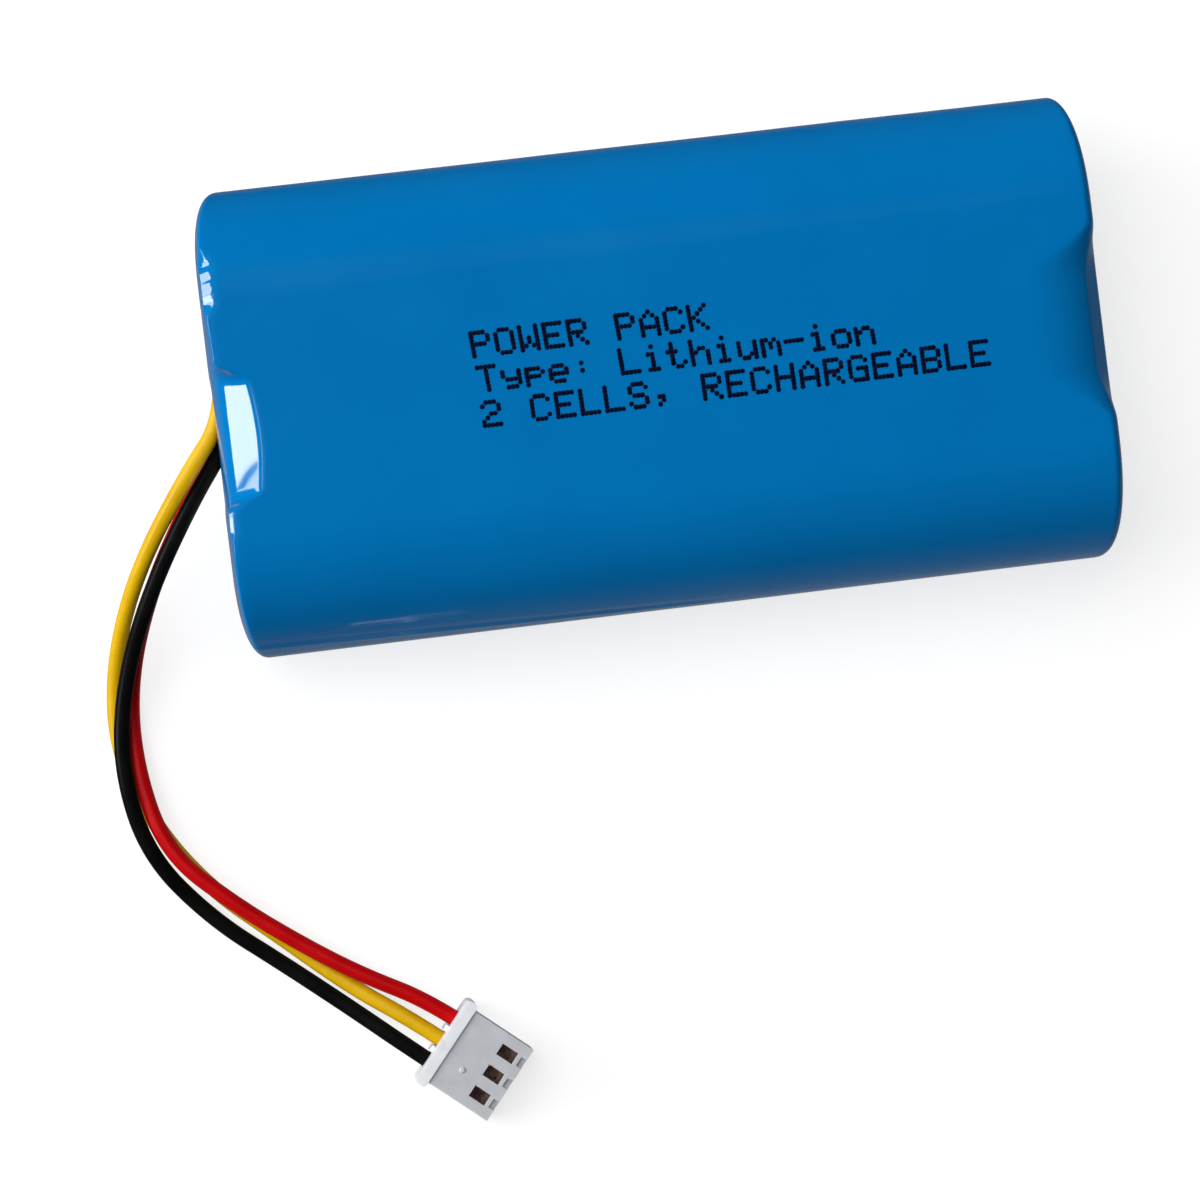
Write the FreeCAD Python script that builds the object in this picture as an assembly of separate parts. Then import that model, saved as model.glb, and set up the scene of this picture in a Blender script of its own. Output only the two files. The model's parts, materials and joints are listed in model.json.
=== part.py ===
"""Two-cell lithium-ion battery pack with a protection board and a three-lead plug.

Frame, in millimetres: X runs along the cells, and the leads leave at the -X end.
Y runs across the two cells and Z is up. The pack lies flat on z = 0, and the
origin is the middle of its underside.
"""
import FreeCAD, Part
import math
import os

Vector = FreeCAD.Vector
ALONG_X = Vector(1, 0, 0)
ALONG_Y = Vector(0, 1, 0)
ALONG_Z = Vector(0, 0, 1)

# How far a cutting shape passes the faces that it cuts through
OVERCUT = 0.3

# Sleeve
PACK_LENGTH = 70.8
SLEEVE_WALL = 0.2
TAPER_LENGTH = 1.6
TAPER_INSET = 4.2
RIM_RADIUS = 1.2
MOUTH_RADIUS = 3.4

# Cells, of the standard 18 mm by 65 mm size
CELL_LENGTH = 65.0
CELL_PITCH = 18.4
CELL_TIP_X = -32.4
CAN_RADIUS = 9.0
CAN_WALL = 0.25
CAN_BASE_WALL = 0.3
CAN_CORNER = 0.6
FLOOR_CORNER = 0.4
WRAP_WALL = 0.1
WRAP_GAP = 0.05
WRAP_CORNER = 0.54
WRAP_INNER_CORNER = 0.58
WRAP_EDGE = 0.14
LOBE_RADIUS = 9.4
LOBE_BORE = LOBE_RADIUS - SLEEVE_WALL
AXIS_Z = LOBE_RADIUS
CELL_YS = {"cell_a": CELL_PITCH / 2, "cell_b": -CELL_PITCH / 2}

# Cap stack, as distances from the tip of the positive button
LIP_TOP = 1.2
LIP_THICKNESS = 0.25
LIP_RADIUS = 7.4
LIP_CORNER = 0.4
LIP_INNER_CORNER = 0.5
GROOVE_START = 3.9
GROOVE_END = 5.7
GROOVE_DEPTH = 0.9
GROOVE_EDGE = 0.1
GROOVE_FLANK = 0.4
BUTTON_RADIUS = 2.9
BUTTON_CORNER = 0.25
CAP_SHEET = 0.3
STACK_RADIUS = 8.05
CAP_TOP = 1.9
CAP_VENT_COUNT = 3
CAP_VENT_WIDTH = 1.2
CAP_VENT_TOP = 0.8
CAP_VENT_BOTTOM = 1.8
PTC_TOP = 2.3
PTC_BORE = 5.0
VENT_TOP = 2.75
VENT_RISE_RADII = (4.6, 4.4)
VENT_DISH_RADII = (3.8, 3.6)
VENT_DISH_TOP = 2.8
VENT_DISH_BOTTOM = 3.0
WELD_PLATE_TOP = 3.3
WELD_HOLE_COUNT = 6
WELD_HOLE_RADIUS = 0.6
WELD_HOLE_CIRCLE = 5.6
STACK_BOTTOM = 3.75
GASKET_RADIUS = 8.7
GASKET_LIP_RADIUS = 7.2
GASKET_BORE = 7.0
GASKET_TOP = 1.5
GASKET_BOTTOM = 4.15
GASKET_CORNER = 0.25
GASKET_HEEL = 0.7
GASKET_GAP = 0.05
WASHER_TOP = 0.75
WASHER_BORE = 3.4
WASHER_RADIUS = 8.5
WRAP_FOLD_TOP = 0.95
WRAP_FOLD_RADIUS = 7.9

# Electrode roll
ROLL_TOP = 6.6
ROLL_BOTTOM = 63.9
ROLL_RADIUS = 8.6
ROLL_BORE = 1.7
PIN_RADII = (1.1, 1.55)
PIN_SETBACK = 1.5
DISC_THICKNESS = 0.2
TOP_DISC_GAP = 0.1
BOTTOM_DISC_GAP = 0.2
BOTTOM_DISC_RADIUS = 8.2
TAB_WIDTH = 3.0
TAB_THICKNESS = 0.15
TAB_END = -1.5
POSITIVE_TAB_REACH = 4.0
NEGATIVE_TAB_REACH = 6.0
TAB_SLOT_WIDTH = 3.4
TAB_SLOT_MARGINS = (-0.2, 0.4)

# Nickel strips, insulators and board
STRIP_THICKNESS = 0.15
STRIP_HEIGHT = 8.0
STRIP_HALF_SPAN = 13.2
TAIL_HEIGHT = 3.0
TAIL_OVERLAP = 1.0
TAIL_FOLD = 3.0
TAIL_GAP = 0.1
RETURN_WIDTH = 4.0
RETURN_Z = 2.35
RETURN_REAR_FOLD = 1.2
RETURN_FRONT_FOLD = 3.8
TAPE_RISE = (0.05, 0.12)
TAPE_WIDTH = 5.4
TAPE_SETBACK = 1.0
GLUE_DAB_LENGTH = 9.0
GLUE_DAB_MIDDLES = (-12.0, 4.0, 20.0)
GLUE_DAB_SECTION = [(0, 12.3), (2.1, 16.4), (1.2, 17.0), (-1.2, 17.0), (-2.1, 16.4)]
PLATE_WAIST = 8.4
LEAD_PLATE_X = (-35.15, -34.95)
LEAD_PLATE_LOBE = 4.2
LEAD_SLOT_Y = (-3.6, 2.8)
LEAD_SLOT_Z = (6.7, 11.9)
REAR_PLATE_X = (34.45, 34.75)
REAR_PLATE_LOBE = 4.2
REAR_PAD_X = (32.8, 34.4)
REAR_PAD_LOBE = 6.2
BOARD_BACK_X = -32.95
BOARD_THICKNESS = 0.6
BOARD_FACE_X = BOARD_BACK_X - BOARD_THICKNESS
BOARD_LENGTH = 30.0
BOARD_HEIGHT = 11.0
BOARD_CORNER = 1.0
BOARD_SHEET_GAP = 0.05
BOARD_SHEET_LENGTH = 28.0
BOARD_SHEET_Z = (6.4, 13.9)
COPPER = 0.05
PAD_FACE_X = BOARD_FACE_X - COPPER

# Pads on the board
LEAD_PAD_LENGTH = 2.6
LEAD_PAD_HEIGHT = 1.3
LEAD_PAD_START = -0.6
TAIL_PAD_Y = (11.8, 14.8)
TAIL_PAD_HEIGHT = 3.4
RETURN_PAD_WIDTH = 4.4
RETURN_PAD_Z = (4.0, 6.2)
RING_PAD_RADIUS = 0.5
LEG_HOLE_RADIUS = 0.25

# Solder over the lead ends
SOLDER_LENGTH = 1.8
SOLDER_RADIUS = 0.6

# Parts on the board, as (width, height, thickness), with their places on its face
MOSFET_SIZE = (3.0, 4.4, 1.0)
MOSFET_YS = (-10.2, -6.0)
MOSFET_Z = 10.4
MOSFET_LEGS_PER_SIDE = 4
CHIP_SIZE = (2.9, 1.6, 1.1)
CHIP_PLACE = (8.0, 13.2)
CHIP_LEGS_PER_SIDE = 3
LEG_LENGTH = 0.7
LEG_THICKNESS = 0.2
LEG_WIDTH_SHARE = 0.45
RESISTOR_SIZE = (1.6, 0.8, 0.5)
RESISTOR_YS = (-11.4, -8.6, -5.8)
CAPACITOR_SIZE = (1.6, 0.9, 0.85)
CAPACITOR_YS = (5.6, 8.4)
PASSIVE_Z = 5.2

# Thermistor
THERMISTOR_X = -24.0
THERMISTOR_Z = 14.2
THERMISTOR_RADIUS = 1.1
THERMISTOR_FLAT = 0.35
THERMISTOR_LEG_YS = (-0.7, 0.7)
THERMISTOR_LEG_RADIUS = 0.15
THERMISTOR_LEG_STICKOUT = 0.3

# Leads
LEAD_DIAMETER = 1.3
LEAD_START_X = -34.27
ARC_SHARE = 0.45
MIN_RADIUS_IN_DIAMETERS = 5

# Plug, described in its own frame: x forwards out of its mating face, y across
# the contacts, z up, and the origin under the middle of its rear face
PLUG_PLACE = Vector(-23.25, -50.8, 0)
PLUG_TURN = -40.5
CONTACT_PITCH = 2.0
PLUG_LENGTH = 6.65
PLUG_WIDTH = 6.8
PLUG_BOTTOM = 0.2
PLUG_TOP = 4.6
FLANGE_THICKNESS = 1.0
FLANGE_WIDTH = 7.9
FLANGE_HEIGHT = 4.8
FLANGE_CORNER = 0.4
BODY_OVERLAP = 0.2
GATE_PLACE = (2.75, -1.05)
GATE_RADII = (0.28, 0.16)
GATE_HEIGHT = 0.12
RIB_X = (-0.3, 0.1)
RIB_YS = (-1.0, 1.0)
RIB_WIDTH = 0.5
RIB_HEIGHT = 2.4
ENTRY_RADIUS = 0.8
ENTRY_LENGTH = 1.6
CAVITY_END = 6.0
CAVITY_WIDTH = 1.5
CAVITY_Z = (1.0, 3.8)
WINDOW_X = (4.3, 5.8)
WINDOW_WIDTH = 1.0
NOTCH_START = 6.15
NOTCH_WIDTH = 0.8
NOTCH_DEPTH = 0.25
PORT_START = 5.9
PORT_WIDTH = 0.8
CONTACT_Z = 2.4
BARREL_RADIUS = 0.7
BARREL_LENGTH = 1.5
RECEPTACLE_X = (2.9, 5.9)
RECEPTACLE_WIDTH = 1.3
RECEPTACLE_Z = (1.2, 3.5)
RECEPTACLE_WALL = 0.2
RECEPTACLE_BACK = 0.3
LANCE_X = (4.5, 5.3)
LANCE_WIDTH = 0.5
LANCE_HEIGHT = 0.25
LEAD_STOP = 1.5
LEAD_STRAIGHT = 2.5
SLOTS = {"red": CONTACT_PITCH, "yellow": 0.0, "black": -CONTACT_PITCH}


# ---------------------------------------------------------------- helpers

def block(x_range, y_range, z_range):
    """Box between two limits on each axis."""
    size = [high - low for low, high in (x_range, y_range, z_range)]
    corner = Vector(x_range[0], y_range[0], z_range[0])
    return Part.makeBox(size[0], size[1], size[2], corner)


def around(middle, width):
    """Limits of a width centred on a value."""
    return (middle - width / 2, middle + width / 2)


def turned(profile, cell_y):
    """Solid turned about a cell's axis from (distance from tip, radius) points."""
    corners = [Vector(CELL_TIP_X + distance, cell_y, AXIS_Z + radius) for distance, radius in profile]
    outline = Part.makePolygon(corners + corners[:1])
    return Part.Face(outline).revolve(Vector(0, cell_y, AXIS_Z), ALONG_X, 360)


def ring(distances, inner_radius, outer_radius, cell_y):
    """Flat ring or tube on a cell's axis."""
    first, last = distances
    profile = [(first, inner_radius), (first, outer_radius), (last, outer_radius), (last, inner_radius)]
    return turned(profile, cell_y)


def disc(distances, radius, cell_y):
    """Flat disc on a cell's axis."""
    start = Vector(CELL_TIP_X + distances[0], cell_y, AXIS_Z)
    return Part.makeCylinder(radius, distances[1] - distances[0], start, ALONG_X)


def cell_block(distances, y_range, z_range, cell_y):
    """Box placed from a cell's tip and axis."""
    x_range = [CELL_TIP_X + distance for distance in distances]
    y_limits = [cell_y + value for value in y_range]
    z_limits = [AXIS_Z + value for value in z_range]
    return block(x_range, y_limits, z_limits)


def stadium(x_range, radius):
    """Prism along X whose section is two lobes joined by flats."""
    half_pitch = CELL_PITCH / 2
    start = x_range[0]
    top = AXIS_Z + radius
    bottom = AXIS_Z - radius
    left_top = Vector(start, -half_pitch, top)
    right_top = Vector(start, half_pitch, top)
    right_bottom = Vector(start, half_pitch, bottom)
    left_bottom = Vector(start, -half_pitch, bottom)
    right_tip = Vector(start, half_pitch + radius, AXIS_Z)
    left_tip = Vector(start, -half_pitch - radius, AXIS_Z)
    edges = [
        Part.LineSegment(left_top, right_top).toShape(),
        Part.Arc(right_top, right_tip, right_bottom).toShape(),
        Part.LineSegment(right_bottom, left_bottom).toShape(),
        Part.Arc(left_bottom, left_tip, left_top).toShape(),
    ]
    face = Part.Face(Part.Wire(edges))
    return face.extrude(ALONG_X * (x_range[1] - start))


def end_edges(solid, half_length):
    """Edges that lie in either end plane of a prism along X."""
    found = []
    for edge in solid.Edges:
        limits = edge.BoundBox
        flat = limits.XLength < 1e-4
        if flat and abs(abs(limits.XMax) - half_length) < 1e-4:
            found.append(edge)
    return found


def joined(first, *others):
    """One solid from touching pieces."""
    return first.fuse(list(others)).removeSplitter()


# ---------------------------------------------------------------- one cell

def make_can(cell_y):
    """Drawn steel can with a crimp groove and a crimped lip."""
    inner = CAN_RADIUS - CAN_WALL
    floor = CELL_LENGTH - CAN_BASE_WALL
    groove = CAN_RADIUS - GROOVE_DEPTH
    profile = [
        (CELL_LENGTH, 0),
        (CELL_LENGTH, CAN_RADIUS - CAN_CORNER),
        (CELL_LENGTH - CAN_CORNER, CAN_RADIUS),
        (GROOVE_END - GROOVE_EDGE, CAN_RADIUS),
        (GROOVE_END - GROOVE_EDGE - GROOVE_FLANK, groove),
        (GROOVE_START + GROOVE_EDGE + GROOVE_FLANK, groove),
        (GROOVE_START + GROOVE_EDGE, CAN_RADIUS),
        (LIP_TOP + LIP_CORNER, CAN_RADIUS),
        (LIP_TOP, CAN_RADIUS - LIP_CORNER),
        (LIP_TOP, LIP_RADIUS),
        (LIP_TOP + LIP_THICKNESS, LIP_RADIUS),
        (LIP_TOP + LIP_THICKNESS, CAN_RADIUS - LIP_INNER_CORNER),
        (LIP_TOP + LIP_INNER_CORNER, inner),
        (GROOVE_START, inner),
        (GROOVE_START + GROOVE_FLANK, groove - CAN_WALL),
        (GROOVE_END - GROOVE_FLANK, groove - CAN_WALL),
        (GROOVE_END, inner),
        (floor - FLOOR_CORNER, inner),
        (floor, inner - FLOOR_CORNER),
        (floor, 0),
    ]
    return turned(profile, cell_y)


def make_wrap(cell_y):
    """Cell's own shrink wrap, folded over both ends of the can."""
    inner = CAN_RADIUS + WRAP_GAP
    outer = inner + WRAP_WALL
    fold_bottom = WRAP_FOLD_TOP + WRAP_WALL
    profile = [
        (WRAP_FOLD_TOP, WRAP_FOLD_RADIUS),
        (WRAP_FOLD_TOP, outer),
        (CELL_LENGTH - WRAP_CORNER, outer),
        (CELL_LENGTH, outer - WRAP_CORNER),
        (CELL_LENGTH, outer - WRAP_CORNER - WRAP_EDGE),
        (CELL_LENGTH - WRAP_INNER_CORNER, inner),
        (fold_bottom, inner),
        (fold_bottom, WRAP_FOLD_RADIUS),
    ]
    return turned(profile, cell_y)


def make_washer(cell_y):
    """Paper washer round the positive button."""
    return ring((WASHER_TOP, WRAP_FOLD_TOP), WASHER_BORE, WASHER_RADIUS, cell_y)


def make_cap(cell_y):
    """Positive cap: a pressed button with gas vents in its wall."""
    inner = BUTTON_RADIUS - CAP_SHEET
    profile = [
        (0, 0),
        (0, BUTTON_RADIUS - BUTTON_CORNER),
        (BUTTON_CORNER, BUTTON_RADIUS),
        (CAP_TOP, BUTTON_RADIUS),
        (CAP_TOP, STACK_RADIUS),
        (PTC_TOP, STACK_RADIUS),
        (PTC_TOP, inner),
        (CAP_SHEET, inner),
        (CAP_SHEET, 0),
    ]
    cap = turned(profile, cell_y)
    centre = Vector(CELL_TIP_X, cell_y, AXIS_Z)
    vent_distances = (CAP_VENT_TOP, CAP_VENT_BOTTOM)
    vent_radii = (inner - OVERCUT, BUTTON_RADIUS + OVERCUT)
    for index in range(CAP_VENT_COUNT):
        vent = cell_block(vent_distances, vent_radii, around(0, CAP_VENT_WIDTH), cell_y)
        vent.rotate(centre, ALONG_X, 360 / CAP_VENT_COUNT * index)
        cap = cap.cut(vent)
    return cap


def make_ptc_ring(cell_y):
    """Resettable current limiter under the cap."""
    return ring((PTC_TOP, VENT_TOP), PTC_BORE, STACK_RADIUS, cell_y)


def make_vent_disc(cell_y):
    """Dished pressure vent with a thin middle that bursts."""
    profile = [
        (VENT_TOP, VENT_RISE_RADII[0]),
        (VENT_TOP, STACK_RADIUS),
        (WELD_PLATE_TOP, STACK_RADIUS),
        (WELD_PLATE_TOP, VENT_RISE_RADII[1]),
        (VENT_DISH_BOTTOM, VENT_DISH_RADII[1]),
        (VENT_DISH_BOTTOM, 0),
        (VENT_DISH_TOP, 0),
        (VENT_DISH_TOP, VENT_DISH_RADII[0]),
    ]
    return turned(profile, cell_y)


def make_weld_plate(cell_y):
    """Aluminium plate under the vent, with gas holes, which the tab is welded to."""
    plate = disc((WELD_PLATE_TOP, STACK_BOTTOM), STACK_RADIUS, cell_y)
    centre = Vector(CELL_TIP_X, cell_y, AXIS_Z)
    depth = STACK_BOTTOM - WELD_PLATE_TOP + 2 * OVERCUT
    for index in range(WELD_HOLE_COUNT):
        start = centre + Vector(WELD_PLATE_TOP - OVERCUT, 0, WELD_HOLE_CIRCLE)
        hole = Part.makeCylinder(WELD_HOLE_RADIUS, depth, start, ALONG_X)
        hole.rotate(centre, ALONG_X, 360 / WELD_HOLE_COUNT * (index + 0.5))
        plate = plate.cut(hole)
    return plate


def make_gasket(cell_y):
    """Moulded ring that seals the cap stack inside the crimp."""
    profile = [
        (GASKET_TOP, GASKET_LIP_RADIUS),
        (GASKET_TOP, GASKET_RADIUS - GASKET_CORNER),
        (GASKET_TOP + GASKET_CORNER, GASKET_RADIUS),
        (GROOVE_START - GASKET_GAP, GASKET_RADIUS),
        (GASKET_BOTTOM, GASKET_RADIUS - GASKET_HEEL),
        (GASKET_BOTTOM, GASKET_BORE),
        (STACK_BOTTOM, GASKET_BORE),
        (STACK_BOTTOM, STACK_RADIUS + GASKET_GAP),
        (CAP_TOP, STACK_RADIUS + GASKET_GAP),
        (CAP_TOP, GASKET_LIP_RADIUS),
    ]
    return turned(profile, cell_y)


def slotted_disc(top, radius, tab_reach, cell_y):
    """Insulating disc at the end of the roll, with a middle hole and a slot for a tab."""
    plate = ring((top, top + DISC_THICKNESS), ROLL_BORE, radius, cell_y)
    slot_distances = (top - OVERCUT, top + DISC_THICKNESS + OVERCUT)
    slot_rise = [tab_reach + margin for margin in TAB_SLOT_MARGINS]
    return plate.cut(cell_block(slot_distances, around(0, TAB_SLOT_WIDTH), slot_rise, cell_y))


def make_top_insulator(cell_y):
    """Disc over the roll, with a slot for the positive tab."""
    top = ROLL_TOP - TOP_DISC_GAP - DISC_THICKNESS
    return slotted_disc(top, ROLL_RADIUS, POSITIVE_TAB_REACH, cell_y)


def make_roll(cell_y):
    """Wound electrodes and separator, as one solid roll with its open core."""
    return ring((ROLL_TOP, ROLL_BOTTOM), ROLL_BORE, ROLL_RADIUS, cell_y)


def make_centre_pin(cell_y):
    """Steel tube in the roll's core."""
    return ring((ROLL_TOP + PIN_SETBACK, ROLL_BOTTOM - PIN_SETBACK), *PIN_RADII, cell_y)


def make_bottom_insulator(cell_y):
    """Disc under the roll, with a slot for the negative tab."""
    top = ROLL_BOTTOM + BOTTOM_DISC_GAP
    return slotted_disc(top, BOTTOM_DISC_RADIUS, NEGATIVE_TAB_REACH, cell_y)


def make_tab(flat_distances, leg_distances, reach, cell_y):
    """Bent tab: a flat lap across the cell's axis and a leg along it."""
    flat = cell_block(flat_distances, around(0, TAB_WIDTH), (TAB_END, reach + TAB_THICKNESS), cell_y)
    leg = cell_block(leg_distances, around(0, TAB_WIDTH), (reach, reach + TAB_THICKNESS), cell_y)
    return joined(flat, leg)


def make_positive_tab(cell_y):
    """Aluminium tab from the roll up to the weld plate."""
    lap = (STACK_BOTTOM, STACK_BOTTOM + TAB_THICKNESS)
    return make_tab(lap, (STACK_BOTTOM, ROLL_TOP), POSITIVE_TAB_REACH, cell_y)


def make_negative_tab(cell_y):
    """Nickel tab from the roll down to the middle of the can's floor."""
    floor = CELL_LENGTH - CAN_BASE_WALL
    lap = (floor - TAB_THICKNESS, floor)
    return make_tab(lap, (ROLL_BOTTOM, floor), NEGATIVE_TAB_REACH, cell_y)


CELL_PIECES = {
    "can": make_can,
    "wrap": make_wrap,
    "washer": make_washer,
    "cap": make_cap,
    "ptc_ring": make_ptc_ring,
    "vent_disc": make_vent_disc,
    "weld_plate": make_weld_plate,
    "gasket": make_gasket,
    "top_insulator": make_top_insulator,
    "electrode_roll": make_roll,
    "centre_pin": make_centre_pin,
    "bottom_insulator": make_bottom_insulator,
    "positive_tab": make_positive_tab,
    "negative_tab": make_negative_tab,
}


def make_cells():
    """Every piece of both cells."""
    nodes = {}
    for cell, cell_y in CELL_YS.items():
        for name, make in CELL_PIECES.items():
            nodes[cell + "_" + name] = make(cell_y)
    return nodes


# ---------------------------------------------------------------- sleeve and insulators

def tapered(solid, half_length, rim_radius):
    """Prism along X with both ends tapered and their shoulders rounded."""
    solid = solid.makeChamfer(TAPER_LENGTH, TAPER_INSET, end_edges(solid, half_length))
    shoulders = end_edges(solid, half_length - TAPER_LENGTH)
    return solid.makeFillet(rim_radius, shoulders)


def make_sleeve():
    """Shrink sleeve: a thin stadium shell, folded in at both ends round an open mouth."""
    half = PACK_LENGTH / 2
    inner_half = half - SLEEVE_WALL
    outer = tapered(stadium((-half, half), LOBE_RADIUS), half, RIM_RADIUS)
    inner = tapered(stadium((-inner_half, inner_half), LOBE_BORE), inner_half, RIM_RADIUS - SLEEVE_WALL)
    mouth = stadium((-half - OVERCUT, half + OVERCUT), MOUTH_RADIUS)
    return outer.cut(inner).cut(mouth)


def end_plate(x_range, lobe_radius):
    """Flat two-lobed piece, narrow at its waist where the sleeve dips between the cells."""
    pieces = []
    for cell_y in CELL_YS.values():
        start = Vector(x_range[0], cell_y, AXIS_Z)
        pieces.append(Part.makeCylinder(lobe_radius, x_range[1] - x_range[0], start, ALONG_X))
    waist = block(x_range, around(0, CELL_PITCH), around(AXIS_Z, PLATE_WAIST))
    return joined(waist, *pieces)


def make_insulators():
    """End plates, the foam behind the rear one, and the sheet behind the board."""
    front = end_plate(LEAD_PLATE_X, LEAD_PLATE_LOBE)
    slot_x = (LEAD_PLATE_X[0] - OVERCUT, LEAD_PLATE_X[1] + OVERCUT)
    lead_slot = block(slot_x, LEAD_SLOT_Y, LEAD_SLOT_Z)
    sheet_x = (BOARD_BACK_X + BOARD_SHEET_GAP, CELL_TIP_X - STRIP_THICKNESS - BOARD_SHEET_GAP)
    return {
        "lead_end_insulator": front.cut(lead_slot),
        "rear_end_insulator": end_plate(REAR_PLATE_X, REAR_PLATE_LOBE),
        "rear_foam_pad": end_plate(REAR_PAD_X, REAR_PAD_LOBE),
        "board_insulator": block(sheet_x, around(0, BOARD_SHEET_LENGTH), BOARD_SHEET_Z),
    }


# ---------------------------------------------------------------- strips

def make_strips():
    """Nickel strips that join the cells in parallel and lead to the board."""
    z_range = around(AXIS_Z, STRIP_HEIGHT)
    tail_z = around(AXIS_Z, TAIL_HEIGHT)
    front_x = (CELL_TIP_X - STRIP_THICKNESS, CELL_TIP_X)
    fold_x = (PAD_FACE_X - STRIP_THICKNESS, PAD_FACE_X)
    tail_y = BOARD_LENGTH / 2 + TAIL_GAP
    tail_end = tail_y + STRIP_THICKNESS
    positive = joined(
        block(front_x, around(0, 2 * STRIP_HALF_SPAN), z_range),
        block(front_x, (STRIP_HALF_SPAN - TAIL_OVERLAP, tail_end), tail_z),
        block((fold_x[0], front_x[1]), (tail_y, tail_end), tail_z),
        block(fold_x, (tail_y - TAIL_FOLD, tail_end), tail_z),
    )

    rear = CELL_TIP_X + CELL_LENGTH
    rear_x = (rear, rear + STRIP_THICKNESS)
    return_y = around(0, RETURN_WIDTH)
    negative = joined(
        block(rear_x, around(0, 2 * STRIP_HALF_SPAN), z_range),
        block(rear_x, return_y, (RETURN_Z, AXIS_Z)),
    )
    return_z = (RETURN_Z, RETURN_Z + STRIP_THICKNESS)
    back_x = (BOARD_BACK_X + COPPER, BOARD_BACK_X + COPPER + STRIP_THICKNESS)
    back = joined(
        block((rear - STRIP_THICKNESS, rear), return_y, (RETURN_Z, RETURN_Z + RETURN_REAR_FOLD)),
        block((back_x[0], rear), return_y, return_z),
        block(back_x, return_y, (RETURN_Z, RETURN_Z + RETURN_FRONT_FOLD)),
    )
    tape_x = (CELL_TIP_X + TAPE_SETBACK, rear - TAPE_SETBACK)
    tape_z = [return_z[1] + rise for rise in TAPE_RISE]
    return {
        "positive_strip": positive,
        "negative_strip": negative,
        "return_strip": back,
        "return_strip_tape": block(tape_x, around(0, TAPE_WIDTH), tape_z),
    }


def make_cell_glue():
    """Dabs of glue in the upper valley that hold the two cells side by side."""
    dabs = []
    for middle in GLUE_DAB_MIDDLES:
        corners = [Vector(middle - GLUE_DAB_LENGTH / 2, y, z) for y, z in GLUE_DAB_SECTION]
        face = Part.Face(Part.makePolygon(corners + corners[:1]))
        dabs.append(face.extrude(ALONG_X * GLUE_DAB_LENGTH))
    return Part.makeCompound(dabs)


# ---------------------------------------------------------------- board

# Where each lead starts on the board: height, and y of the lead's cut end
LEAD_STARTS = {"yellow": (11.0, 6.7), "black": (9.4, 4.8), "red": (7.8, 5.7)}


def chip(middle_y, middle_z, size):
    """Component body standing on the board's outer face."""
    width, height, thickness = size
    return block((BOARD_FACE_X - thickness, BOARD_FACE_X), around(middle_y, width), around(middle_z, height))


def chip_legs(middle_y, middle_z, size, legs_per_side):
    """Two rows of flat legs, above and below a chip."""
    width, height, thickness = size
    legs = []
    pitch = width / legs_per_side
    for side in (-1, 1):
        leg_z = middle_z + side * (height + LEG_LENGTH) / 2
        for index in range(legs_per_side):
            leg_y = middle_y + (index - (legs_per_side - 1) / 2) * pitch
            legs.append(chip(leg_y, leg_z, (pitch * LEG_WIDTH_SHARE, LEG_LENGTH, LEG_THICKNESS)))
    return legs


def make_board_pads():
    """Copper pads for the leads, the strips and the thermistor."""
    pad_x = (PAD_FACE_X, BOARD_FACE_X)
    back_x = (BOARD_BACK_X, BOARD_BACK_X + COPPER)
    pads = []
    for height, lead_y in LEAD_STARTS.values():
        start_y = lead_y + LEAD_PAD_START
        pads.append(block(pad_x, (start_y, start_y + LEAD_PAD_LENGTH), around(height, LEAD_PAD_HEIGHT)))
    pads.append(block(pad_x, TAIL_PAD_Y, around(AXIS_Z, TAIL_PAD_HEIGHT)))
    pads.append(block(back_x, around(0, RETURN_PAD_WIDTH), RETURN_PAD_Z))
    for pad_y in THERMISTOR_LEG_YS:
        start = Vector(pad_x[0], pad_y, THERMISTOR_Z)
        pad = Part.makeCylinder(RING_PAD_RADIUS, COPPER, start, ALONG_X)
        pads.append(pad.cut(Part.makeCylinder(LEG_HOLE_RADIUS, COPPER, start, ALONG_X)))
    return Part.makeCompound(pads)


def make_solder_joints():
    """Solder over the stripped end of each lead."""
    joints = []
    for height, lead_y in LEAD_STARTS.values():
        bead = Part.makeCylinder(SOLDER_RADIUS, SOLDER_LENGTH, Vector(LEAD_START_X, lead_y, height), ALONG_Y)
        foot_y = (lead_y, lead_y + SOLDER_LENGTH)
        foot = block((LEAD_START_X, PAD_FACE_X), foot_y, around(height, 2 * SOLDER_RADIUS))
        joints.append(joined(bead, foot))
    return Part.makeCompound(joints)


def make_bare_board():
    """Board with rounded corners and the thermistor's two holes."""
    board = block((BOARD_FACE_X, BOARD_BACK_X), around(0, BOARD_LENGTH), around(AXIS_Z, BOARD_HEIGHT))
    corners = [edge for edge in board.Edges if edge.BoundBox.XLength > BOARD_THICKNESS / 2]
    board = board.makeFillet(BOARD_CORNER, corners)
    for hole_y in THERMISTOR_LEG_YS:
        start = Vector(BOARD_FACE_X - OVERCUT, hole_y, THERMISTOR_Z)
        depth = BOARD_THICKNESS + 2 * OVERCUT
        board = board.cut(Part.makeCylinder(LEG_HOLE_RADIUS, depth, start, ALONG_X))
    return board


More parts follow.
